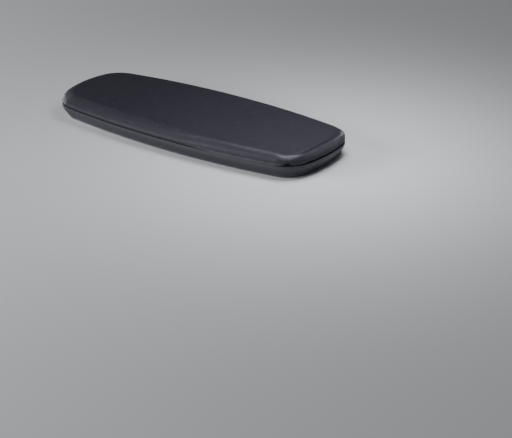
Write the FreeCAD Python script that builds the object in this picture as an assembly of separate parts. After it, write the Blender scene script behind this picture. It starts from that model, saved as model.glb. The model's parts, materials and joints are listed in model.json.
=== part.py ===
"""Adjustable armrest pad of an office or gaming chair: soft pad, rimmed base, fore-and-aft slide and swivel hub.

Millimetres. The origin is the centre of the face that sits on the arm post, +Z is up, +X is the front of
the chair and +Y is the side of the sitter. The hub is bolted to the post. The carriage turns on the hub,
and the pad slides along the carriage.
"""

import FreeCAD
import Part

import math
import os

V = FreeCAD.Vector
UP = V(0, 0, 1)

# Plan outline of the pad, symmetric about the X axis: four corner arcs joined by four shallow side arcs
BODY_LENGTH = 255.5
REAR_WIDTH = 88.4
FRONT_WIDTH = 88.5
SIDE_BULGE = 8.3
REAR_BULGE = 2.1
FRONT_BULGE = 1.9
REAR_CORNER = 26.0
FRONT_CORNER = 24.5
SMALLEST_CORNER = 7.0

# Heights of the pad, from the seat face of the hub at 0
RIM_BOTTOM = -3.7
FLOOR_BOTTOM = 0.5
FLOOR_TOP = 2.5
GROOVE_BOTTOM = 8.3
PARTING = 9.0
GROOVE_TOP = 9.7
PLATE_BOTTOM = 10.5
PLATE_TOP = 12.5

# Base rim: sloped under, with a foot and a ledge that carries the slide tray
GROOVE_DEPTH = 2.0
WALL = 4.5
FOOT_INSET = 8.6
SLOPE_TOP = 5.5
SLOPE_RUN = 6.2
SLOPE_TOP_ROUND = 3.0
FOOT_ROUND = 1.2
GROOVE_EDGE_ROUND = 0.4
TRAY_INSET = 4.6
SLOT_CORNER = 6.0

# Soft pad: top surface curved both ways, and a rounded shoulder
CROWN_TOP = 20.3
CROWN_ACROSS_R = 440.0
CROWN_ALONG_R = 4000.0
SHOULDER_R = 6.8
PLATE_INSET = 6.0

# Motion
SLIDE_TRAVEL = 24.0
SLIDE_STEP = 12.0
SWIVEL_LIMIT = 20.0
SWIVEL_STEP = 10.0

# Hub and pivot
BOSS_R = 23.0
BOSS_TOP = 3.0
NECK_R = 11.0
NECK_TOP = 6.2
KEY_R = 8.0
KEY_HALF_FLAT = 6.5
KEY_TOP = 7.8
POST_SCREW_CIRCLE = 34.0
POST_SCREW_HOLE_R = 2.75
POST_SCREW_HEAD_R = 4.9
PIVOT_BOLT_R = 3.0
BEARING_GAP = 0.05
STOP_PIN_R = 2.0
STOP_RADIUS = 17.0
STOP_SLOT_HALF = 2.3

# Carriage
CARRIAGE_BOTTOM = 3.6
CARRIAGE_TOP = 6.1
CARRIAGE_HALF_LENGTH = 45.0
CARRIAGE_HALF_WIDTH = 31.0
CARRIAGE_CORNER = 5.0
BUSH_R = 13.0
SHOE_LENGTH = 20.0
SHOE_X = 33.0
SHOE_INNER = 26.0
SHOE_OUTER = 31.8
SHOE_BOTTOM = 2.8
SHOE_TOP = 7.0
SHIELD_BOTTOM = 2.75
SHIELD_HALF_LENGTH = 76.0
SHIELD_HALF_WIDTH = 25.5
SHIELD_RIVET_X = 36.0
SHIELD_RIVET_Y = 20.0
SHIELD_RIVET_R = 1.5

# Guide rails on the tray
RAIL_HALF_LENGTH = 76.0
RAIL_INNER = 32.1
RAIL_OUTER = 37.1
RAIL_LIP = 27.0
RAIL_LIP_BOTTOM = 7.2
RAIL_SCREW_X = 55.0
RAIL_SCREW_R = 1.5
RAIL_SCREW_HEAD_R = 2.8
RAIL_SCREW_TOP = 8.0

# Detents
RACK_HALF_LENGTH = 34.0
RACK_INNER = 26.8
RACK_OUTER = 29.8
RACK_BOTTOM = 7.3
RACK_TOP = 9.7
DISC_R = 20.0
NOTCH_R = 1.6
LEAF_THICKNESS = 0.6
LEAF_GAP = 0.15
SPRING_POST_R = 1.4
SLIDE_LEAF = {"reach": 23.5, "root": 23.2, "tip": RACK_INNER + NOTCH_R - LEAF_GAP, "bottom": 7.4, "top": 9.4}
SWIVEL_LEAF = {"reach": 16.0, "root": -22.9, "tip": NOTCH_R - DISC_R - LEAF_GAP, "bottom": 6.3, "top": 7.7}

# Pad screws: rear pair, front pair, middle pair
PAD_SCREWS = [(sx * 110.0, sy * 20.0) for sx in (-1, 1) for sy in (-1, 1)] + [(0.0, 41.8), (0.0, -41.8)]
PAD_BOSS_R = 4.6
PAD_SCREW_R = 2.0
PAD_SCREW_HEAD_R = 3.5
PAD_SCREW_SEAT = 3.0
PAD_SCREW_TOP = 14.2
INSERT_R = 3.4
INSERT_FLANGE_R = 4.6
INSERT_FLANGE = 0.8
INSERT_TOP = 15.0


def corner_circles(offset):
    """Centre and radius of the four corner circles of the outline grown by offset, counter-clockwise."""
    corners = []
    for sx, sy in ((-1, -1), (1, -1), (1, 1), (-1, 1)):
        width = FRONT_WIDTH if sx > 0 else REAR_WIDTH
        radius = max((FRONT_CORNER if sx > 0 else REAR_CORNER) + offset, SMALLEST_CORNER)
        x = sx * (BODY_LENGTH / 2 + offset - radius)
        y = sy * (width / 2 + offset - radius)
        corners.append((V(x, y, 0), radius))
    return corners


def side_circle(first, second, bulge):
    """Centre and radius of the large circle that touches both corner circles from outside and bulges."""
    (c1, r1), (c2, r2) = first, second
    chord = (c2 - c1).Length
    radius = (chord**2 / 4 + bulge**2) / (2 * bulge) + (r1 + r2) / 2
    a, b = radius - r1, radius - r2
    along = (a * a - b * b + chord * chord) / (2 * chord)
    direction = (c2 - c1).normalize()
    inwards = V(-direction.y, direction.x, 0)
    return c1 + direction * along + inwards * math.sqrt(a * a - along * along), radius


def arc(centre, radius, start, end):
    """Arc about centre from the direction start to the direction end, by the short way."""
    middle = (start + end).normalize()
    return Part.Arc(centre + start * radius, centre + middle * radius, centre + end * radius).toShape()


def pad_outline(offset, z):
    """The plan outline grown by offset, as a closed wire at height z."""
    corners = corner_circles(offset)
    bulges = (SIDE_BULGE, FRONT_BULGE, SIDE_BULGE, REAR_BULGE)
    sides = [side_circle(corners[k], corners[(k + 1) % 4], bulges[k]) for k in range(4)]
    edges = []
    for k, (corner, radius) in enumerate(corners):
        before, after, following = sides[k - 1][0], sides[k][0], corners[(k + 1) % 4][0]
        enter, leave, arrive = corner - before, corner - after, following - after
        edges.append(arc(corner, radius, enter.normalize(), leave.normalize()))
        edges.append(arc(after, sides[k][1], leave, arrive.normalize()))
    wire = Part.Wire(edges)
    wire.translate(V(0, 0, z))
    return wire


def prism(offset, bottom, top):
    """A straight-sided slice of the pad between two heights."""
    return Part.Face(pad_outline(offset, bottom)).extrude(V(0, 0, top - bottom))


def cylinder(radius, bottom, top, x=0.0, y=0.0):
    return Part.makeCylinder(radius, top - bottom, V(x, y, bottom), UP)


def cone(bottom_radius, top_radius, bottom, top, x=0.0, y=0.0):
    return Part.makeCone(bottom_radius, top_radius, top - bottom, V(x, y, bottom), UP)


def box(x0, x1, y0, y1, z0, z1):
    return Part.makeBox(x1 - x0, y1 - y0, z1 - z0, V(x0, y0, z0))


def rounded_box(x0, x1, y0, y1, z0, z1, radius):
    """A box with its four upright edges rounded."""
    block = box(x0, x1, y0, y1, z0, z1)
    upright = [e for e in block.Edges if abs(e.tangentAt(e.FirstParameter).z) > 0.9]
    return block.makeFillet(radius, upright)


def polar(radius, degrees):
    return radius * math.cos(math.radians(degrees)), radius * math.sin(math.radians(degrees))


def post_screw_places():
    return [polar(POST_SCREW_CIRCLE / 2, 45 + 90 * k) for k in range(4)]


def rail_screw_places(side):
    return [(x, side * (RAIL_INNER + RAIL_OUTER) / 2) for x in (-RAIL_SCREW_X, 0.0, RAIL_SCREW_X)]


def detent_steps(limit, step):
    count = round(limit / step)
    return [k * step for k in range(-count, count + 1)]


# Hub, fixed to the post


def mount_hub():
    """Round boss on the post, neck that the carriage turns on, and a key with two flats for the disc."""
    key = cylinder(KEY_R, NECK_TOP, KEY_TOP).common(
        box(-KEY_R, KEY_R, -KEY_HALF_FLAT, KEY_HALF_FLAT, NECK_TOP, KEY_TOP)
    )
    hub = cylinder(BOSS_R, 0, BOSS_TOP).fuse([cylinder(NECK_R, BOSS_TOP, NECK_TOP), key])
    hub = hub.cut(cylinder(PIVOT_BOLT_R + 0.02, 0, KEY_TOP))
    hub = hub.cut(cylinder(STOP_PIN_R, 0.5, BOSS_TOP, STOP_RADIUS))
    for x, y in post_screw_places():
        hub = hub.cut(cylinder(POST_SCREW_HOLE_R, 0, BOSS_TOP, x, y))
        head_depth = POST_SCREW_HEAD_R - POST_SCREW_HOLE_R
        hub = hub.cut(cone(POST_SCREW_HOLE_R, POST_SCREW_HEAD_R, BOSS_TOP - head_depth, BOSS_TOP, x, y))
    return hub


def swivel_stop_pin():
    return cylinder(STOP_PIN_R, 0.5, CARRIAGE_TOP - BEARING_GAP, STOP_RADIUS)


def detent_disc():
    """Keyed disc with a rounded notch for each swivel position, on its outer side."""
    disc = cylinder(DISC_R, NECK_TOP, KEY_TOP)
    gap = BEARING_GAP
    hole = cylinder(KEY_R + gap, NECK_TOP, KEY_TOP).common(
        box(-KEY_R - gap, KEY_R + gap, -KEY_HALF_FLAT - gap, KEY_HALF_FLAT + gap, NECK_TOP, KEY_TOP)
    )
    disc = disc.cut(hole)
    for angle in detent_steps(SWIVEL_LIMIT, SWIVEL_STEP):
        x, y = polar(DISC_R, angle - 90)
        disc = disc.cut(cylinder(NOTCH_R, NECK_TOP, KEY_TOP, x, y))
    return disc


def cone_washer():
    """Dished spring washer between the disc and the bolt head."""
    top = KEY_TOP + 0.7
    inner, outer, sheet = 3.2, 9.0, 0.35
    section = Part.makePolygon(
        [V(inner, 0, top - sheet), V(outer, 0, KEY_TOP), V(outer, 0, KEY_TOP + sheet), V(inner, 0, top)]
        + [V(inner, 0, top - sheet)]
    )
    return Part.Face(section).revolve(V(0, 0, 0), UP, 360)


def pivot_bolt():
    """Low-head bolt with a hexagon socket."""
    seat = KEY_TOP + 0.7
    head_top = seat + 1.7
    bolt = cylinder(PIVOT_BOLT_R, 0.8, seat).fuse(cylinder(6.5, seat, head_top)).removeSplitter()
    rim = [e for e in bolt.Edges if abs(e.BoundBox.ZMin - head_top) < 0.01 and abs(e.Length - 13 * math.pi) < 0.1]
    bolt = bolt.makeFillet(0.6, rim)
    socket = Part.makePolygon([V(*polar(2.3, 60 * k), seat + 0.3) for k in range(7)])
    return bolt.cut(Part.Face(socket).extrude(V(0, 0, 2)))


# Carriage, turns on the hub


def carriage_plate():
    """Pressed steel plate with a bore for the bush and a curved slot that limits the swivel."""
    half_l, half_w = CARRIAGE_HALF_LENGTH, CARRIAGE_HALF_WIDTH
    plate = rounded_box(-half_l, half_l, -half_w, half_w, CARRIAGE_BOTTOM, CARRIAGE_TOP, CARRIAGE_CORNER)
    plate = plate.cut(cylinder(BUSH_R, CARRIAGE_BOTTOM, CARRIAGE_TOP))
    plate = plate.cut(stop_slot())
    for x, y in shield_rivet_places():
        plate = plate.cut(cylinder(SHIELD_RIVET_R, CARRIAGE_BOTTOM, CARRIAGE_TOP, x, y))
    return plate


def stop_slot():
    """Curved slot about the pivot, as long as the swivel range and with a round end at each limit."""
    height = CARRIAGE_TOP - CARRIAGE_BOTTOM
    ring = cylinder(STOP_RADIUS + STOP_SLOT_HALF, CARRIAGE_BOTTOM, CARRIAGE_TOP).cut(
        cylinder(STOP_RADIUS - STOP_SLOT_HALF, CARRIAGE_BOTTOM, CARRIAGE_TOP)
    )
    reach = 2 * STOP_RADIUS
    corners = [V(0, 0, CARRIAGE_BOTTOM)]
    corners += [V(*polar(reach, angle), CARRIAGE_BOTTOM) for angle in (-SWIVEL_LIMIT, SWIVEL_LIMIT)]
    wedge = Part.Face(Part.makePolygon(corners + corners[:1])).extrude(V(0, 0, height))
    ends = [
        cylinder(STOP_SLOT_HALF, CARRIAGE_BOTTOM, CARRIAGE_TOP, *polar(STOP_RADIUS, angle))
        for angle in (-SWIVEL_LIMIT, SWIVEL_LIMIT)
    ]
    return ring.common(wedge).fuse(ends)


def shield_rivet_places():
    return [(sx * SHIELD_RIVET_X, sy * SHIELD_RIVET_Y) for sx in (-1, 1) for sy in (-1, 1)]


def pivot_bush():
    bottom = CARRIAGE_BOTTOM + 0.05
    return cylinder(BUSH_R, bottom, CARRIAGE_TOP).cut(cylinder(NECK_R + BEARING_GAP, bottom, CARRIAGE_TOP))


def thrust_washer():
    """Plastic washer between the hub's boss and the carriage."""
    bottom, top = BOSS_TOP + BEARING_GAP, CARRIAGE_BOTTOM
    return cylinder(14.2, bottom, top).cut(cylinder(NECK_R + 0.3, bottom, top))


def glide_shoes():
    """Four plastic caps that clip over the carriage's long edges and run in the rails."""
    shoes = []
    for sx in (-1, 1):
        for sy in (-1, 1):
            x0, x1 = sx * SHOE_X - SHOE_LENGTH / 2, sx * SHOE_X + SHOE_LENGTH / 2
            y0, y1 = sorted((sy * SHOE_INNER, sy * SHOE_OUTER))
            shoes.append(box(x0, x1, y0, y1, SHOE_BOTTOM, SHOE_TOP).cut(carriage_plate()))
    return shoes


def dust_shield():
    """Thin sheet under the carriage that keeps the slot in the tray covered over the whole travel."""
    half_l, half_w = SHIELD_HALF_LENGTH, SHIELD_HALF_WIDTH
    shield = rounded_box(-half_l, half_l, -half_w, half_w, SHIELD_BOTTOM, CARRIAGE_BOTTOM, 6.0)
    shield = shield.cut(cylinder(BOSS_R + 0.4, SHIELD_BOTTOM, CARRIAGE_BOTTOM))
    for x, y in shield_rivet_places():
        shield = shield.cut(cylinder(SHIELD_RIVET_R, SHIELD_BOTTOM, CARRIAGE_BOTTOM, x, y))
    return shield


def shield_rivets():
    return [cylinder(SHIELD_RIVET_R, SHIELD_BOTTOM, CARRIAGE_TOP, x, y) for x, y in shield_rivet_places()]


def leaf_spring(leaf):
    """Strip bowed towards +Y with a round nose, its ends rolled into eyes around the two spring posts."""
    z0, height, reach, root = leaf["bottom"], leaf["top"] - leaf["bottom"], leaf["reach"], leaf["root"]
    nose_r = NOTCH_R - LEAF_GAP
    crown = leaf["tip"] - nose_r - 0.25
    back = V(0, LEAF_THICKNESS, 0)
    left, middle, right = V(-reach, root, z0), V(0, crown, z0), V(reach, root, z0)
    outline = Part.Wire(
        [
            Part.Arc(left, middle, right).toShape(),
            Part.LineSegment(right, right - back).toShape(),
            Part.Arc(right - back, middle - back, left - back).toShape(),
            Part.LineSegment(left - back, left).toShape(),
        ]
    )
    strip = Part.Face(outline).extrude(V(0, 0, height))
    nose = cylinder(nose_r, z0, leaf["top"], 0, leaf["tip"] - nose_r)
    nose = nose.cut(box(-5, 5, crown - LEAF_THICKNESS - 5, crown - 0.3, z0, leaf["top"]))
    eyes = [cylinder(SPRING_POST_R + LEAF_THICKNESS, z0, leaf["top"], x, y) for x, y in leaf_posts(leaf)]
    spring = strip.fuse([nose] + eyes)
    for x, y in leaf_posts(leaf):
        spring = spring.cut(cylinder(SPRING_POST_R, z0, leaf["top"], x, y))
    return spring


def leaf_posts(leaf):
    return [(sx * leaf["reach"], leaf["root"] - LEAF_THICKNESS / 2) for sx in (-1, 1)]


def slide_detent_spring():
    return leaf_spring(SLIDE_LEAF)


def swivel_detent_spring():
    return leaf_spring(SWIVEL_LEAF)


def spring_posts():
    """Pins on the carriage that hold the ends of both leaf springs."""
    return [
        cylinder(SPRING_POST_R, CARRIAGE_TOP, leaf["top"] + 0.3, x, y)
        for leaf in (SLIDE_LEAF, SWIVEL_LEAF)
        for x, y in leaf_posts(leaf)
    ]


# Pad, slides along the carriage


def level_edges(solid, height):
    """The edges of a solid that lie flat at a height."""
    return [e for e in solid.Edges if abs(e.BoundBox.Center.z - height) + e.BoundBox.ZLength < 0.02]


def base_rim():
    """Moulded ring all round the pad: sloped under, stepped in at the groove, with a ledge for the tray."""
    rim = prism(0, RIM_BOTTOM, GROOVE_BOTTOM)
    rim = rim.makeChamfer(SLOPE_TOP - RIM_BOTTOM, SLOPE_RUN, level_edges(rim, RIM_BOTTOM))
    for height, radius in (
        (SLOPE_TOP, SLOPE_TOP_ROUND),
        (RIM_BOTTOM, FOOT_ROUND),
        (GROOVE_BOTTOM, GROOVE_EDGE_ROUND),
    ):
        rim = rim.makeFillet(radius, level_edges(rim, height))
    rim = rim.fuse(prism(-GROOVE_DEPTH, GROOVE_BOTTOM, PARTING))
    rim = rim.cut(prism(-WALL, FLOOR_BOTTOM, PARTING))
    rim = rim.cut(prism(-FOOT_INSET, RIM_BOTTOM, FLOOR_BOTTOM))
    for x, y in PAD_SCREWS:
        rim = rim.cut(cylinder(PAD_SCREW_HEAD_R + 0.4, RIM_BOTTOM, FLOOR_BOTTOM, x, y))
    return rim


def slide_tray():
    """Flat tray on the rim's ledge, with a slot for the hub and bosses for the pad screws."""
    tray = prism(-TRAY_INSET, FLOOR_BOTTOM, FLOOR_TOP)
    for x, y in PAD_SCREWS:
        tray = tray.fuse(cylinder(PAD_BOSS_R, FLOOR_BOTTOM, PLATE_BOTTOM, x, y))
        tray = tray.cut(cylinder(PAD_SCREW_R + 0.2, FLOOR_BOTTOM, PLATE_BOTTOM, x, y))
        tray = tray.cut(cylinder(PAD_SCREW_HEAD_R + 0.3, FLOOR_BOTTOM, PAD_SCREW_SEAT, x, y))
    half_l, half_w = SLIDE_TRAVEL + BOSS_R + 0.5, BOSS_R + 0.5
    tray = tray.cut(rounded_box(-half_l, half_l, -half_w, half_w, FLOOR_BOTTOM, FLOOR_TOP, SLOT_CORNER))
    for side in (-1, 1):
        for x, y in rail_screw_places(side):
            tray = tray.cut(cylinder(RAIL_SCREW_R, FLOOR_BOTTOM, FLOOR_TOP, x, y))
            depth = RAIL_SCREW_HEAD_R - RAIL_SCREW_R
            tray = tray.cut(cone(RAIL_SCREW_HEAD_R, RAIL_SCREW_R, FLOOR_BOTTOM, FLOOR_BOTTOM + depth, x, y))
    return tray


def guide_rail(side):
    """Plastic rail with a lip over the carriage's edge. Side is +1 for the sitter's side."""
    wall = box(-RAIL_HALF_LENGTH, RAIL_HALF_LENGTH, RAIL_INNER, RAIL_OUTER, FLOOR_TOP, PLATE_BOTTOM)
    lip = box(-RAIL_HALF_LENGTH, RAIL_HALF_LENGTH, RAIL_LIP, RAIL_INNER, RAIL_LIP_BOTTOM, PLATE_BOTTOM)
    rail = wall.fuse(lip).removeSplitter()
    if side < 0:
        rail = rail.mirror(V(0, 0, 0), V(0, 1, 0))
    for x, y in rail_screw_places(side):
        rail = rail.cut(cylinder(RAIL_SCREW_R, FLOOR_TOP, RAIL_SCREW_TOP, x, y))
    if side > 0:
        seat = box(-RACK_HALF_LENGTH, RACK_HALF_LENGTH, RAIL_LIP, RACK_OUTER, RAIL_LIP_BOTTOM, RACK_TOP)
        rail = rail.cut(seat)
    return rail


def rail_screws():
    """Countersunk screws from below, three to a rail."""
    screws = []
    for side in (-1, 1):
        for x, y in rail_screw_places(side):
            depth = RAIL_SCREW_HEAD_R - RAIL_SCREW_R
            head = cone(RAIL_SCREW_HEAD_R, RAIL_SCREW_R, FLOOR_BOTTOM, FLOOR_BOTTOM + depth, x, y)
            screw = head.fuse(cylinder(RAIL_SCREW_R, FLOOR_BOTTOM + depth, RAIL_SCREW_TOP, x, y))
            cross = box(x - 1.6, x + 1.6, y - 0.3, y + 0.3, FLOOR_BOTTOM, FLOOR_BOTTOM + 0.8).fuse(
                box(x - 0.3, x + 0.3, y - 1.6, y + 1.6, FLOOR_BOTTOM, FLOOR_BOTTOM + 0.8)
            )
            screws.append(screw.removeSplitter().cut(cross))
    return screws


def detent_rack():
    """Steel strip in the rail's lip with a rounded notch for each slide position."""
    rack = box(-RACK_HALF_LENGTH, RACK_HALF_LENGTH, RACK_INNER, RACK_OUTER, RACK_BOTTOM, RACK_TOP)
    for x in detent_steps(SLIDE_TRAVEL, SLIDE_STEP):
        rack = rack.cut(cylinder(NOTCH_R, RACK_BOTTOM, RACK_TOP, x, RACK_INNER))
    return rack


def end_stops(end):
    """Rubber blocks in both rails that the carriage meets at the end of its travel."""
    x0 = CARRIAGE_HALF_LENGTH + SLIDE_TRAVEL + 0.3
    x0, x1 = sorted((end * x0, end * (x0 + 5.0)))
    return [
        rounded_box(x0, x1, *sorted((side * 27.5, side * RAIL_INNER)), FLOOR_TOP, RAIL_LIP_BOTTOM, 0.8)
        for side in (-1, 1)
    ]


def backing_plate():
    """Steel plate moulded into the soft pad, with holes for the inserts and holes that key the foam."""
    plate = prism(-PLATE_INSET, PLATE_BOTTOM, PLATE_TOP)
    for x, y in PAD_SCREWS:
        plate = plate.cut(cylinder(INSERT_R, PLATE_BOTTOM, PLATE_TOP, x, y))
    for x in (-85.0, -55.0, 55.0, 85.0):
        for y in (-17.0, 17.0):
            plate = plate.cut(cylinder(4.5, PLATE_BOTTOM, PLATE_TOP, x, y))
    return plate


def pad_insert_blanks():
    return [
        cylinder(INSERT_R, PLATE_BOTTOM, INSERT_TOP, x, y).fuse(
            cylinder(INSERT_FLANGE_R, PLATE_TOP, PLATE_TOP + INSERT_FLANGE, x, y)
        ).removeSplitter()
        for x, y in PAD_SCREWS
    ]


def threaded_inserts():
    """Flanged inserts in the backing plate for the pad screws."""
    return [
        blank.cut(cylinder(PAD_SCREW_R + 0.02, PLATE_BOTTOM, PAD_SCREW_TOP + 0.3, x, y))
        for blank, (x, y) in zip(pad_insert_blanks(), PAD_SCREWS)
    ]


def pad_screws():
    """Round-head screws from below through the tray's bosses into the inserts."""
    screws = []
    for x, y in PAD_SCREWS:
        head = cylinder(PAD_SCREW_HEAD_R, FLOOR_BOTTOM + 0.2, PAD_SCREW_SEAT, x, y)
        rim = [e for e in head.Edges if abs(e.BoundBox.ZMax - FLOOR_BOTTOM - 0.2) < 0.01]
        head = head.makeFillet(0.8, rim)
        screw = head.fuse(cylinder(PAD_SCREW_R, PAD_SCREW_SEAT, PAD_SCREW_TOP, x, y))
        low, high = FLOOR_BOTTOM + 0.2, FLOOR_BOTTOM + 1.5
        cross = box(x - 2.2, x + 2.2, y - 0.4, y + 0.4, low, high).fuse(
            box(x - 0.4, x + 0.4, y - 2.2, y + 2.2, low, high)
        )
        screws.append(screw.removeSplitter().cut(cross))
    return screws


def pad_cushion():
    """Integral-skin foam pad: crowned top, rounded shoulder, and a skirt that meets the rim."""
    tube_circle_r = CROWN_ALONG_R - CROWN_ACROSS_R
    crown = Part.makeTorus(tube_circle_r, CROWN_ACROSS_R, V(0, 0, CROWN_TOP - CROWN_ALONG_R), V(0, 1, 0))
    cushion = prism(0, GROOVE_TOP, CROWN_TOP + 1).common(crown)
    top = max(cushion.Faces, key=lambda face: face.CenterOfMass.z)
    cushion = cushion.makeFillet(SHOULDER_R, top.Edges)
    cushion = cushion.fuse(prism(-GROOVE_DEPTH, PARTING, GROOVE_TOP)).removeSplitter()
    cushion = cushion.cut(prism(-PLATE_INSET, PARTING, PLATE_BOTTOM))
    cushion = cushion.cut(backing_plate())
    for blank in pad_insert_blanks():
        cushion = cushion.cut(blank)
    return cushion


def solids_of(result):
    shapes = result if isinstance(result, list) else [result]
    return [solid for shape in shapes for solid in shape.Solids]


NODES = {
    "mount_hub": mount_hub,
    "swivel_stop_pin": swivel_stop_pin,
    "detent_disc": detent_disc,
    "cone_washer": cone_washer,
    "pivot_bolt": pivot_bolt,
    "carriage_plate": carriage_plate,
    "pivot_bush": pivot_bush,
    "thrust_washer": thrust_washer,
    "glide_shoes": glide_shoes,
    "dust_shield": dust_shield,
    "shield_rivets": shield_rivets,
    "slide_detent_spring": slide_detent_spring,
    "swivel_detent_spring": swivel_detent_spring,
    "spring_posts": spring_posts,
    "base_rim": base_rim,
    "slide_tray": slide_tray,
    "inner_guide_rail": lambda: guide_rail(1),
    "outer_guide_rail": lambda: guide_rail(-1),
    "rail_screws": rail_screws,
    "detent_rack": detent_rack,
    "front_end_stops": lambda: end_stops(1),
    "rear_end_stops": lambda: end_stops(-1),
    "backing_plate": backing_plate,
    "threaded_inserts": threaded_inserts,
    "pad_screws": pad_screws,
    "pad_cushion": pad_cushion,
}


def main():
    os.makedirs("parts", exist_ok=True)
    for name, make in NODES.items():
        solids = solids_of(make())
        if not solids or not all(s.isValid() and s.Volume > 0 for s in solids):
            raise ValueError(f"{name} is not a set of valid solids")
        shape = solids[0] if len(solids) == 1 else Part.makeCompound(solids)
        shape.exportStep(f"parts/{name}.step")
        box_of = shape.BoundBox
        print(
            f"{name:22s} {len(solids)} solid(s) {shape.Volume / 1000:8.2f} cm3"
            f"  x {box_of.XMin:.1f}..{box_of.XMax:.1f}"
            f"  y {box_of.YMin:.1f}..{box_of.YMax:.1f}  z {box_of.ZMin:.1f}..{box_of.ZMax:.1f}"
        )


main()
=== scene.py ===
import json
import math

import bmesh
import bpy
import numpy as np
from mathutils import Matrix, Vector


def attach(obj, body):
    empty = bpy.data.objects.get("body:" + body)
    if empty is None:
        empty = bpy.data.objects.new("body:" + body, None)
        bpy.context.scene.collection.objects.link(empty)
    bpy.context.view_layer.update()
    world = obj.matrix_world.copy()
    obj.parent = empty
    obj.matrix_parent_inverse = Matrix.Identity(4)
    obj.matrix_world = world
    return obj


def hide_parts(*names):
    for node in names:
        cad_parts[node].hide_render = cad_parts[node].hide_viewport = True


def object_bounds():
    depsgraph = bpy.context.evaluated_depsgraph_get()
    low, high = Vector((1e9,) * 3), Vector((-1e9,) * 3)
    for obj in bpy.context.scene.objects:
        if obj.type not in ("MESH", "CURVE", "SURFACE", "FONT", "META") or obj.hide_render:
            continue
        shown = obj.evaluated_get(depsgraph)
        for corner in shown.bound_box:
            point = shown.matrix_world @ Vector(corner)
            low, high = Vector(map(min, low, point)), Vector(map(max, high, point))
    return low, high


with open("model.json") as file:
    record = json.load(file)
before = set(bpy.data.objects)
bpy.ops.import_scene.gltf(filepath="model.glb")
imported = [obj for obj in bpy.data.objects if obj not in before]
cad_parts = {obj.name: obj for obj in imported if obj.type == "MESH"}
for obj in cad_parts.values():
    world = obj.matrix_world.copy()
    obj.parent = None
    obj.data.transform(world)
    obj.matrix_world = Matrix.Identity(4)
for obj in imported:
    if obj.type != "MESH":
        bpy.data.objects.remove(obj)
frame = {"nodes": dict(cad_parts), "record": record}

MM = 0.001
CAD_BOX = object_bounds()
NODES = frame["nodes"]

# Plan outline of the pad in millimetres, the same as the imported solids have. Keys are -1 rear and 1 front,
# and the bulges are those of the outer side, front end, inner side and rear end.
BODY_LENGTH = 255.5
WIDTHS = {-1: 88.4, 1: 88.5}
CORNERS = {-1: 26.0, 1: 24.5}
BULGES = (8.3, 1.9, 8.3, 2.1)

# Heights in millimetres
RIM_TOP = 8.3
PARTING = 9.05
GROOVE_TOP = 9.65
PLATE_TOP = 12.6
CROWN_TOP = 20.3
CROWN_ACROSS_R = 440.0
CROWN_ALONG_R = 4000.0

# Centre and width of each feature round the pad, by where the outline's normal points, in degrees: 0 is
# the front and -90 the outer side
OUTER_CORNER = (-50, 24)
DIMPLE = (-53, 6)
INNER_CORNER = (30, 22)
REAR_CORNER = (-155, 26)

# Distances in from the outline, in millimetres. SPINE_SHARE is how far along X the spine runs, as a share of
# the flat area's reach.
PLATE_EDGE = 6.1
GROOVE_FOOT = 2.5
FLAT_INSET = 20.0
SPINE_SHARE = 0.62

# Points closer than this, in millimetres, are merged
WELD_DISTANCE = 0.01

# Shoulder in millimetres: its value on the inner side, and what is added along the rear and the front of the
# outer side, at the outer front corner and across the front end. The power is 2 for a round shoulder.
SHOULDER_INSET = (10.0, -0.3, -3.8, -7.0, -5.2)
SHOULDER_POWER = (2.0, -0.72, -0.5, 0.5, 0.5)
SHOULDER_BASE = (11.2, -0.5, 0.4, 1.0, 0.8)

# Channel across the front and the swelling behind it: centre and width by distance in, then depth or height
CHANNEL = (3.1, 1.3)
CHANNEL_DEPTH = 1.3
SWELLING = (6.5, 2.0)
SWELLING_HEIGHT = 0.3
UNEVENNESS = 0.035

# Camera: sensor and lens in millimetres, azimuth and elevation in degrees, distance in metres, and where
# the point on the swivel axis at SIGHT_HEIGHT stands from the middle of the picture, in shares of its width
SIGHT_HEIGHT = -3.0
SENSOR_WIDTH = 36.0
AZIMUTH = 38.2
ELEVATION = 21.4
DISTANCE = 1.5623
LENS = 131.08
ASIDE = -0.1098
ABOVE = 0.1678
AIM_STEPS = 8


# ---- outline ----


def side_circle(first, second, bulge):
    """Centre and radius of the circle that touches two corner circles from outside."""
    (c1, r1), (c2, r2) = first, second
    chord = np.linalg.norm(c2 - c1)
    radius = (chord**2 / 4 + bulge**2) / (2 * bulge) + (r1 + r2) / 2
    a, b = radius - r1, radius - r2
    along = (a * a - b * b + chord * chord) / (2 * chord)
    direction = (c2 - c1) / chord
    inwards = np.array([-direction[1], direction[0]])
    return c1 + direction * along + inwards * math.sqrt(a * a - along * along), radius


def arc_points(centre, radius, start, end, count):
    """Points and outward normals along an arc, counter-clockwise, without its last point."""
    while end < start:
        end += 2 * math.pi
    angles = np.linspace(start, end, count, endpoint=False)
    normals = np.stack([np.cos(angles), np.sin(angles)], axis=1)
    return centre + radius * normals, normals


def angle_of(vector):
    return math.atan2(vector[1], vector[0])


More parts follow.
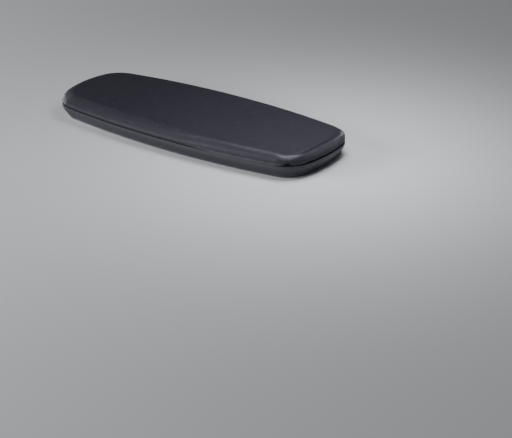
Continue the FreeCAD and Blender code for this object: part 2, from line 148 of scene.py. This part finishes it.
def outline(corner_count=30, long_count=110, end_count=40):
    """Points and outward normals of the pad's plan outline, counter-clockwise from its rear outer corner.

    The counts are the points on a corner, along a side and across an end.
    """
    corners = []
    for sx, sy in ((-1, -1), (1, -1), (1, 1), (-1, 1)):
        radius = CORNERS[sx]
        centre = np.array([sx * (BODY_LENGTH / 2 - radius), sy * (WIDTHS[sx] / 2 - radius)])
        corners.append((centre, radius))
    sides = [side_circle(corners[k], corners[(k + 1) % 4], BULGES[k]) for k in range(4)]
    points, normals = [], []
    for k, (corner, radius) in enumerate(corners):
        enter = angle_of(corner - sides[k - 1][0])
        leave = angle_of(corner - sides[k][0])
        arrive = angle_of(corners[(k + 1) % 4][0] - sides[k][0])
        count = long_count if k % 2 == 0 else end_count
        for piece in (
            arc_points(corner, radius, enter, leave, corner_count),
            arc_points(sides[k][0], sides[k][1], leave, arrive, count),
        ):
            points.append(piece[0])
            normals.append(piece[1])
    return np.concatenate(points), np.concatenate(normals)


def smoothstep(low, high, value):
    t = np.clip((value - low) / (high - low), 0, 1)
    return t * t * (3 - 2 * t)


def bump(value, centre, width):
    return np.exp(-(((value - centre) / width) ** 2))


# ---- soft pad ----


def crown(x, y):
    return CROWN_TOP - x * x / (2 * CROWN_ALONG_R) - y * y / (2 * CROWN_ACROSS_R)


class SoftPad:
    """The pad's skin as closed rings: from the underside, out through the groove, up the side, over the
    shoulder and in to a spine along X. Its shoulder, lip and groove change on the way round."""

    def __init__(self):
        self.edge, self.normal = outline()
        self.facing = np.degrees(np.arctan2(self.normal[:, 1], self.normal[:, 0]))
        self.corner = bump(self.facing, *OUTER_CORNER)
        self.front = smoothstep(0.35, 0.95, self.normal[:, 0]) * (1 - self.corner)
        outer = smoothstep(0.15, 0.85, -self.normal[:, 1]) * (1 - self.corner)
        ahead = smoothstep(5, 60, self.edge[:, 0])
        self.outer_rear, self.outer_front = outer * (1 - ahead), outer * ahead
        self.rings = []
        self.inset = self.round_pad(SHOULDER_INSET)
        self.power = self.round_pad(SHOULDER_POWER)
        self.base = self.round_pad(SHOULDER_BASE)
        self.shape_lip()

    def round_pad(self, values):
        """A value at each point of the outline, from its plain value and what each zone adds."""
        plain, *added = values
        zones = (self.outer_rear, self.outer_front, self.corner, self.front)
        return sum((change * zone for change, zone in zip(added, zones)), plain)

    def shape_lip(self):
        """The skirt sags to the rim along the front of the outer side, and is pinched up at the corner."""
        dimple = bump(self.facing, *DIMPLE)
        gap = 1.35 - 1.30 * self.outer_front - 0.5 * self.corner + 2.0 * dimple - 0.2 * self.front
        self.lip = 0.9 - 0.6 * self.outer_front
        self.low = RIM_TOP + np.maximum(gap, 0.06)

    def ring(self, distance, height):
        position = self.edge - self.normal * np.reshape(distance, (-1, 1))
        if callable(height):
            height = height(position[:, 0], position[:, 1])
        self.rings.append(np.column_stack([position, np.broadcast_to(height, len(self.edge))]))

    def along_spine(self, share, height):
        """A ring part of the way from the flat inset to the spine."""
        start = self.edge - self.normal * FLAT_INSET
        spine = np.column_stack([start[:, 0] * SPINE_SHARE, np.zeros(len(self.edge))])
        position = start + (spine - start) * share
        self.rings.append(np.column_stack([position, height(position[:, 0], position[:, 1])]))

    def lay_underside(self):
        for share in (1.0, 0.66, 0.33, 0.0):
            self.along_spine(share, lambda x, y: np.full(len(x), PLATE_TOP))
        self.ring(PLATE_EDGE, PLATE_TOP)
        self.ring(5.95, GROOVE_TOP)
        self.ring(5.7, PARTING)
        self.ring(GROOVE_FOOT, PARTING)
        self.ring(2.1, PARTING + 0.1)

    def lay_side(self):
        low, lip = self.low, self.lip
        self.ring(1.9, low - 0.05)
        self.ring(1.0, low)
        self.ring(0.5 * lip, low + 0.13 * lip)
        self.ring(0.17 * lip, low + 0.44 * lip)
        self.ring(0.0, low + lip)
        self.ring(-0.03, (low + self.base) / 2 + 0.4)

    def lay_shoulder(self):
        for theta in np.radians(np.linspace(3, 90, 15)):
            run = self.inset * (1 - np.abs(np.cos(theta)) ** (2 / self.power))
            rise = np.sin(theta) ** (2 / self.power)
            self.ring(run, lambda x, y: self.base + (crown(x, y) - self.base) * rise)

    def lay_top(self):
        for share in (0.12, 0.28, 0.46, 0.64, 0.82, 1.0):
            self.ring(self.inset + (FLAT_INSET - self.inset) * share, crown)
        for share in np.linspace(0, 1, 17)[1:]:
            self.along_spine(share, crown)

    def press(self, verts, distance, upper):
        """Adds the shallow channel behind the front lip and the faint unevenness of moulded foam."""
        x, y, z = verts[..., 0], verts[..., 1], verts[..., 2]
        z -= CHANNEL_DEPTH * bump(distance, *CHANNEL) * self.front[None] * upper
        z += SWELLING_HEIGHT * bump(distance, *SWELLING) * self.front[None] * upper
        wander = np.sin(x / 17.0 + 0.7) * np.sin(y / 13.0 + 1.9) + 0.6 * np.sin(x / 9.3 - y / 11.7)
        z += UNEVENNESS * wander * upper

    def painted_highlight_mask(self, verts, distance, upper):
        """Painted highlights where light would catch the skin: shoulder creases, front lip, inner corner,
        rear end and skirt.
        """
        height = verts[..., 2]
        crease_inset = self.inset * (0.35 + 0.50 * self.outer_front)
        crease = np.maximum(self.corner, 0.22 * self.outer_front * smoothstep(35, 85, self.edge[:, 0]))
        from_rear = (self.facing - REAR_CORNER[0] + 180) % 360 - 180
        above_groove = height > PARTING + 0.2
        return np.maximum.reduce(
            [
                bump(distance, crease_inset, 1.2) * crease * upper,
                0.3 * bump(distance, 0.6, 0.9) * self.front * smoothstep(12.0, 14.0, height),
                bump(distance, 2.0, 1.6) * bump(self.facing, *INNER_CORNER) * upper,
                0.6 * bump(distance, 0.3, 1.2) * bump(from_rear, 0, REAR_CORNER[1]) * above_groove,
                0.35 * bump(height, self.low + 0.4, 0.5) * self.outer_front * (distance < 1.0),
            ]
        )

    def build(self):
        self.lay_underside()
        self.lay_side()
        self.lay_shoulder()
        self.lay_top()
        verts = np.stack(self.rings)
        distance = np.sum((self.edge[None] - verts[..., :2]) * self.normal[None], axis=-1)
        upper = smoothstep(12.5, 16.0, verts[..., 2])
        self.press(verts, distance, upper)
        # Painted highlight mask along the pad's edges, stored on the mesh for the skin material
        painted_highlight = self.painted_highlight_mask(verts, distance, upper)
        # Painted shade mask for the channel behind the front lip
        channel_shade = bump(distance, *CHANNEL) * self.front * upper
        return rings_to_mesh("cushion", verts, {"painted_highlight": painted_highlight, "channel_shade": channel_shade})


def rings_to_mesh(name, verts, masks):
    """Quads between successive closed rings of millimetre points, with the first and last ring welded shut.

    Each mask is stored on the mesh as a number per point, for the material to read.
    """
    count, around = verts.shape[:2]
    faces = []
    for k in range(count - 1):
        for i in range(around):
            j = (i + 1) % around
            faces.append((k * around + i, k * around + j, (k + 1) * around + j, (k + 1) * around + i))
    mesh = bpy.data.meshes.new(name)
    mesh.from_pydata((verts.reshape(-1, 3) * MM).tolist(), [], faces)
    for key, values in masks.items():
        layer = mesh.attributes.new(key, "FLOAT", "POINT")
        layer.data.foreach_set("value", values.reshape(-1).astype(np.float32))
    obj = bpy.data.objects.new(name, mesh)
    bpy.context.scene.collection.objects.link(obj)
    weld(obj)
    return obj


def weld(obj):
    """Merges the points that meet and makes every face look outwards."""
    mesh = bmesh.new()
    mesh.from_mesh(obj.data)
    bmesh.ops.remove_doubles(mesh, verts=mesh.verts, dist=WELD_DISTANCE * MM)
    bmesh.ops.recalc_face_normals(mesh, faces=mesh.faces)
    mesh.to_mesh(obj.data)
    mesh.free()
    for polygon in obj.data.polygons:
        polygon.use_smooth = True


# ---- materials ----


class Shader:
    """A node material: a Principled shader and short ways to add the nodes that feed it."""

    def __init__(self, name, **sockets):
        self.material = bpy.data.materials.new(name)
        self.material.use_nodes = True
        self.tree = self.material.node_tree
        self.bsdf = self.tree.nodes["Principled BSDF"]
        for key, value in sockets.items():
            self.bsdf.inputs[key.replace("_", " ")].default_value = value
        self.place = self.add("ShaderNodeTexCoord").outputs["Object"]

    def add(self, kind, **settings):
        node = self.tree.nodes.new(kind)
        for key, value in settings.items():
            setattr(node, key, value)
        return node

    def feed(self, socket, value):
        if isinstance(value, bpy.types.NodeSocket):
            self.tree.links.new(value, socket)
        else:
            socket.default_value = value

    def noise(self, scale, detail=3.0, roughness=0.55, vector=None):
        node = self.add("ShaderNodeTexNoise")
        self.feed(node.inputs["Vector"], vector or self.place)
        self.feed(node.inputs["Scale"], scale)
        self.feed(node.inputs["Detail"], detail)
        self.feed(node.inputs["Roughness"], roughness)
        return node.outputs["Fac"]

    def cells(self, scale):
        """Distance to the nearest border between cells."""
        node = self.add("ShaderNodeTexVoronoi", feature="DISTANCE_TO_EDGE")
        self.feed(node.inputs["Vector"], self.place)
        self.feed(node.inputs["Scale"], scale)
        return node.outputs["Distance"]

    def math(self, operation, a, b=0.0):
        node = self.add("ShaderNodeMath", operation=operation)
        self.feed(node.inputs[0], a)
        self.feed(node.inputs[1], b)
        return node.outputs[0]

    def times(self, a, b):
        return self.math("MULTIPLY", a, b)

    def minus(self, a, b):
        return self.math("SUBTRACT", a, b)

    def span(self, value, low, high, to_low=0.0, to_high=1.0):
        """Maps low...high to to_low...to_high, clamped."""
        node = self.add("ShaderNodeMapRange")
        for socket, item in zip(node.inputs, (value, low, high, to_low, to_high)):
            self.feed(socket, item)
        return node.outputs[0]

    def mix(self, factor, a, b):
        node = self.add("ShaderNodeMix", data_type="RGBA")
        self.feed(node.inputs["Factor"], factor)
        self.feed(node.inputs[6], a)
        self.feed(node.inputs[7], b)
        return node.outputs[2]

    def tint(self, base, mask, strength, colour):
        return self.mix(self.times(mask, strength), base, colour)

    def mask(self, name):
        """A number stored on the mesh's points."""
        return self.add("ShaderNodeAttribute", attribute_name=name).outputs["Fac"]

    def along(self, axis):
        """The object coordinate along X, Y or Z, in metres."""
        node = self.add("ShaderNodeSeparateXYZ")
        self.feed(node.inputs[0], self.place)
        return node.outputs[axis]

    def colour(self, value):
        self.feed(self.bsdf.inputs["Base Color"], value)

    def roughness(self, value):
        self.feed(self.bsdf.inputs["Roughness"], value)

    def bumps(self, *layers):
        """Stacks (height, strength, distance in mm) layers of bump."""
        normal = None
        for value, strength, distance in layers:
            node = self.add("ShaderNodeBump")
            self.feed(node.inputs["Height"], value)
            self.feed(node.inputs["Strength"], strength)
            self.feed(node.inputs["Distance"], distance * MM)
            if normal:
                self.feed(node.inputs["Normal"], normal)
            normal = node.outputs["Normal"]
        self.feed(self.bsdf.inputs["Normal"], normal)


def rgb(r, g, b):
    return (r, g, b, 1.0)


def stretched(shader, x, y, z):
    node = shader.add("ShaderNodeMapping")
    shader.feed(node.inputs["Vector"], shader.place)
    node.inputs["Scale"].default_value = (x, y, z)
    return node.outputs["Vector"]


def skin_material():
    """Self-skinned polyurethane: dark slate, fine leather grain, a rubbed sheen where the arm lies, painted
    glints, painted highlights along the edges and painted shade in the front channel.
    """
    s = Shader("pad_skin", Specular_IOR_Level=0.22)
    broad = s.noise(14, 3, 0.5)
    clouds = s.span(s.noise(120, 4, 0.6), 0.35, 0.70)
    # Painted glints: light flecks standing in for sparkle off the grain
    glint_flecks = s.span(s.noise(520, 3, 0.6), 0.60, 0.70)
    specks = s.span(s.noise(330, 2, 0.5), 0.685, 0.73)
    # Painted highlights along the edges, broken up by noise
    edge_highlight = s.times(s.mask("painted_highlight"), s.span(s.noise(170, 4, 0.65), 0.25, 0.60, 0.45, 1.0))
    tone = s.mix(broad, rgb(0.0255, 0.0250, 0.0350), rgb(0.0320, 0.0312, 0.0430))
    tone = s.tint(tone, clouds, 0.4, rgb(0.0370, 0.0362, 0.0490))
    tone = s.tint(tone, glint_flecks, 0.42, rgb(0.088, 0.088, 0.110))
    tone = s.tint(tone, specks, 0.2, rgb(0.115, 0.116, 0.140))
    # Painted shade darkening the channel behind the front lip
    tone = s.tint(tone, s.mask("channel_shade"), 0.3, rgb(0.0100, 0.0100, 0.0140))
    # The painted highlights lighten the skin's edges
    s.colour(s.tint(tone, edge_highlight, 0.85, rgb(0.280, 0.284, 0.325)))
    rough = s.minus(s.span(broad, 0.3, 0.7, 0.47, 0.57), s.times(arm_rest_area(s), 0.07))
    s.roughness(s.minus(rough, s.times(edge_highlight, 0.12)))
    creases = s.span(s.cells(430), 0.0, 0.22)
    pebbles = s.noise(900, 3, 0.6)
    pores = s.span(s.noise(2600, 2, 0.5), 0.35, 0.6)
    s.bumps((creases, 0.55, 0.16), (pebbles, 0.5, 0.10), (pores, 0.18, 0.03), (broad, 0.3, 0.5))
    return s.material


def arm_rest_area(s):
    """Patchy mask over the middle of the top, where an arm has polished the skin."""
    lengthways = s.span(s.math("ABSOLUTE", s.along("X")), 0.030, 0.115, 1.0, 0.0)
    crossways = s.span(s.math("ABSOLUTE", s.along("Y")), 0.012, 0.046, 1.0, 0.0)
    return s.times(s.times(lengthways, crossways), s.span(s.noise(38, 4), 0.35, 0.65))


def shell_material():
    """Moulded plastic with a fine spark texture, and a painted highlight along its lower edge towards the
    rear.
    """
    s = Shader("base_plastic", Specular_IOR_Level=0.45)
    broad = s.noise(22, 3)
    tone = s.mix(broad, rgb(0.0300, 0.0303, 0.0400), rgb(0.0365, 0.0367, 0.0475))
    foot_highlight = painted_foot_highlight(s)
    # Painted highlight along the rim's foot, strongest at the rear
    s.colour(s.mix(foot_highlight, tone, rgb(0.360, 0.362, 0.390)))
    scuff = s.noise(60, 5, 0.7, vector=stretched(s, 0.35, 1.0, 3.0))
    s.roughness(s.minus(s.span(scuff, 0.3, 0.7, 0.46, 0.60), s.times(foot_highlight, 0.12)))
    s.bumps((s.noise(3200, 3, 0.6), 0.45, 0.035), (s.noise(900, 2), 0.2, 0.03), (broad, 0.25, 0.4))
    return s.material


def painted_foot_highlight(s):
    """Broken line of painted highlight round the rim's foot, full at the rear and faint at the front."""
    height = s.along("Z")
    low_edge = s.times(
        s.span(height, -0.00368, -0.0034),
        s.span(height, -0.0028, -0.0010, 1.0, 0.0),
    )
    rear_end = s.span(s.along("X"), -0.115, 0.030, 1.0, 0.2)
    patches = s.span(s.noise(150, 5, 0.7), 0.25, 0.50)
    return s.times(low_edge, s.times(rear_end, patches))


def coated_metal(name, low, high, coarse):
    """Black coated sheet or casting, with an orange-peel bump."""
    s = Shader(name, Metallic=0.0, Specular_IOR_Level=0.5, Coat_Weight=0.25, Coat_Roughness=0.35)
    broad = s.noise(45, 4)
    s.colour(s.mix(broad, rgb(*low), rgb(*high)))
    s.roughness(s.span(s.noise(120, 5, 0.65), 0.3, 0.7, 0.38, 0.58))
    s.bumps((s.noise(coarse, 3), 0.35, 0.06), (s.cells(coarse * 0.6), 0.15, 0.05))
    return s.material


def bare_metal(name, low, high, rough, stretch=(1.0, 1.0, 1.0)):
    """Plated, ground or blued metal with fine machining lines and patches of tarnish."""
    s = Shader(name, Metallic=1.0)
    patches = s.noise(160, 5, 0.65)
    s.colour(s.mix(patches, rgb(*low), rgb(*high)))
    lines = s.noise(900, 4, 0.7, vector=stretched(s, *stretch))
    s.roughness(s.span(s.times(lines, patches), 0.1, 0.4, rough - 0.08, rough + 0.14))
    s.bumps((lines, 0.25, 0.02), (s.noise(260, 3), 0.2, 0.03))
    return s.material


def moulded_plastic(name, low, high, rough, subsurface=0.0):
    """Small moulded or turned plastic parts, with flow marks."""
    s = Shader(name, Specular_IOR_Level=0.5, Subsurface_Weight=subsurface, Subsurface_Scale=0.002)
    broad = s.noise(70, 4)
    s.colour(s.mix(broad, rgb(*low), rgb(*high)))
    s.roughness(s.span(s.noise(220, 4, 0.6), 0.3, 0.7, rough - 0.06, rough + 0.08))
    flow = s.noise(150, 3, vector=stretched(s, 0.4, 1.4, 1.0))
    s.bumps((flow, 0.2, 0.05), (s.noise(2400, 2), 0.25, 0.02))
    return s.material


def stop_rubber():
    """Dusty moulded rubber."""
    s = Shader("stop_rubber", Specular_IOR_Level=0.3)
    dust = s.span(s.noise(420, 5, 0.7), 0.5, 0.8)
    s.colour(s.tint(rgb(0.018, 0.018, 0.019), dust, 0.4, rgb(0.075, 0.073, 0.070)))
    s.roughness(s.span(dust, 0, 1, 0.72, 0.90))
    s.bumps((s.noise(1300, 4), 0.5, 0.05))
    return s.material


# Darker and lighter colour, then the scale of the orange peel
COATED_METALS = {
    "steel_plate": ((0.018, 0.018, 0.019), (0.028, 0.028, 0.030), 1500),
    "hub_metal": ((0.026, 0.027, 0.030), (0.040, 0.041, 0.045), 800),
}

# Darker and lighter colour, roughness, then how far the machining lines are stretched
BARE_METALS = {
    "zinc_screw": ((0.52, 0.53, 0.54), (0.68, 0.68, 0.66), 0.32),
    "black_screw": ((0.055, 0.055, 0.060), (0.095, 0.092, 0.090), 0.42),
    "bright_steel": ((0.50, 0.50, 0.51), (0.63, 0.62, 0.60), 0.26, (1, 9, 1)),
    "spring_steel": ((0.22, 0.24, 0.30), (0.36, 0.37, 0.42), 0.30, (1, 1, 8)),
    "insert_brass": ((0.55, 0.39, 0.16), (0.70, 0.52, 0.25), 0.30),
}

# Darker and lighter colour, roughness, then the share of light that passes under the surface
PLASTICS = {
    "bearing_plastic": ((0.60, 0.59, 0.53), (0.70, 0.69, 0.63), 0.38, 0.15),
    "rail_plastic": ((0.026, 0.026, 0.028), (0.036, 0.036, 0.039), 0.40),
    "shield_plastic": ((0.018, 0.018, 0.020), (0.028, 0.028, 0.031), 0.46),
}


def slot_materials():
    made = {"pad_skin": skin_material(), "base_plastic": shell_material(), "stop_rubber": stop_rubber()}
    families = ((coated_metal, COATED_METALS), (bare_metal, BARE_METALS), (moulded_plastic, PLASTICS))
    for make, finishes in families:
        for name, values in finishes.items():
            made[name] = make(name, *values)
    return made


def dress_frame(made):
    """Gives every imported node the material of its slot."""
    for part in frame["record"]["subparts"]:
        mesh = NODES[part["node"]].data
        mesh.materials.clear()
        mesh.materials.append(made[part["material_slot"]])


# ---- stage, light and camera ----


FLOOR_REACH = 6.0
FLOOR_ROWS = 40
FLOOR_COLUMNS = 12
BACKDROP_FROM = 3.6
BACKDROP_CURVE = 0.55


def floor_mesh(height):
    """Grid that lies flat under the pad and curves up into a backdrop far behind it."""
    verts, faces = [], []
    for r in range(FLOOR_ROWS + 1):
        run = -FLOOR_REACH + 2 * FLOOR_REACH * r / FLOOR_ROWS
        rise = BACKDROP_CURVE * max(0.0, run - BACKDROP_FROM) ** 2
        for c in range(FLOOR_COLUMNS + 1):
            verts.append((-FLOOR_REACH + 2 * FLOOR_REACH * c / FLOOR_COLUMNS, run, height + rise))
    for r in range(FLOOR_ROWS):
        for c in range(FLOOR_COLUMNS):
            k = r * (FLOOR_COLUMNS + 1) + c
            faces.append((k, k + 1, k + FLOOR_COLUMNS + 2, k + FLOOR_COLUMNS + 1))
    mesh = bpy.data.meshes.new("floor")
    mesh.from_pydata(verts, [], faces)
    for polygon in mesh.polygons:
        polygon.use_smooth = True
    return mesh


def floor_material():
    """Matt pale studio paper."""
    s = Shader("floor_paper", Specular_IOR_Level=0.2)
    s.colour(s.mix(s.noise(3.0, 3), rgb(0.72, 0.73, 0.75), rgb(0.76, 0.77, 0.79)))
    s.roughness(s.span(s.noise(9.0, 3), 0.3, 0.7, 0.82, 0.92))
    s.bumps((s.noise(700, 4), 0.12, 0.1))
    return s.material


def stage_floor(height):
    mesh = floor_mesh(height)
    mesh.materials.append(floor_material())
    floor = bpy.data.objects.new("floor", mesh)
    bpy.context.scene.collection.objects.link(floor)


def softbox(name, place, target, size, power, tint=(1.0, 1.0, 1.0), spread=180):
    """Rectangular light turned towards target, which the camera can't see."""
    light = bpy.data.lights.new(name, "AREA")
    light.shape = "RECTANGLE"
    light.size, light.size_y = size
    light.energy = power
    light.color = tint
    light.spread = math.radians(spread)
    obj = bpy.data.objects.new(name, light)
    obj.location = place
    obj.rotation_mode = "QUATERNION"
    obj.rotation_quaternion = (Vector(target) - Vector(place)).to_track_quat("-Z", "Y")
    obj.visible_camera = False
    bpy.context.scene.collection.objects.link(obj)


def light_scene():
    softbox("key", (-0.95, -1.75, 0.62), (0, 0, 0), (1.4, 0.6), 29)
    softbox("over_front", (0.125, 0.02, 0.27), (0.12, 0.01, 0), (0.16, 0.16), 0.30, (0.96, 0.97, 1.0), 110)
    softbox("near_rear", (-0.42, -0.55, 0.34), (-0.07, -0.03, 0.015), (0.30, 0.16), 2.0)
    softbox("above", (0.5, -0.4, 2.0), (0, 0, 0), (1.6, 1.2), 2.2)
    softbox("rear_edge", (-1.3, 0.25, 0.10), (-0.12, 0, 0), (0.3, 0.16), 3.5)
    world = bpy.data.worlds.new("studio")
    world.use_nodes = True
    background = world.node_tree.nodes["Background"]
    background.inputs["Color"].default_value = (0.90, 0.94, 1.0, 1.0)
    background.inputs["Strength"].default_value = 0.09
    bpy.context.scene.world = world


def aim_camera():
    """Puts the camera on its line of sight, then turns it to put the sight point in its place."""
    a, e = math.radians(AZIMUTH), math.radians(ELEVATION)
    back = Vector((math.sin(a) * math.cos(e), -math.cos(a) * math.cos(e), math.sin(e)))
    data = bpy.data.cameras.new("camera")
    data.sensor_width = SENSOR_WIDTH
    data.lens = LENS
    data.clip_start, data.clip_end = 0.05, 50
    camera = bpy.data.objects.new("camera", data)
    camera.location = Vector((0, 0, SIGHT_HEIGHT * MM)) + back * DISTANCE
    camera.rotation_mode = "QUATERNION"
    ahead = -back
    for _ in range(AIM_STEPS):
        turn = ahead.to_track_quat("-Z", "Y")
        seen = turn.inverted() @ -back
        miss_x = ASIDE * SENSOR_WIDTH / LENS + seen.x / seen.z
        miss_y = ABOVE * SENSOR_WIDTH / LENS + seen.y / seen.z
        ahead = (turn @ Vector((-miss_x, -miss_y, -1))).normalized()
    camera.rotation_quaternion = ahead.to_track_quat("-Z", "Y")
    bpy.context.scene.collection.objects.link(camera)
    bpy.context.scene.camera = camera


materials = slot_materials()
dress_frame(materials)
cushion = SoftPad().build()
cushion.data.materials.append(materials["pad_skin"])
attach(cushion, "pad")
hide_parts("pad_cushion")

stage_floor(CAD_BOX[0].z)
light_scene()
aim_camera()
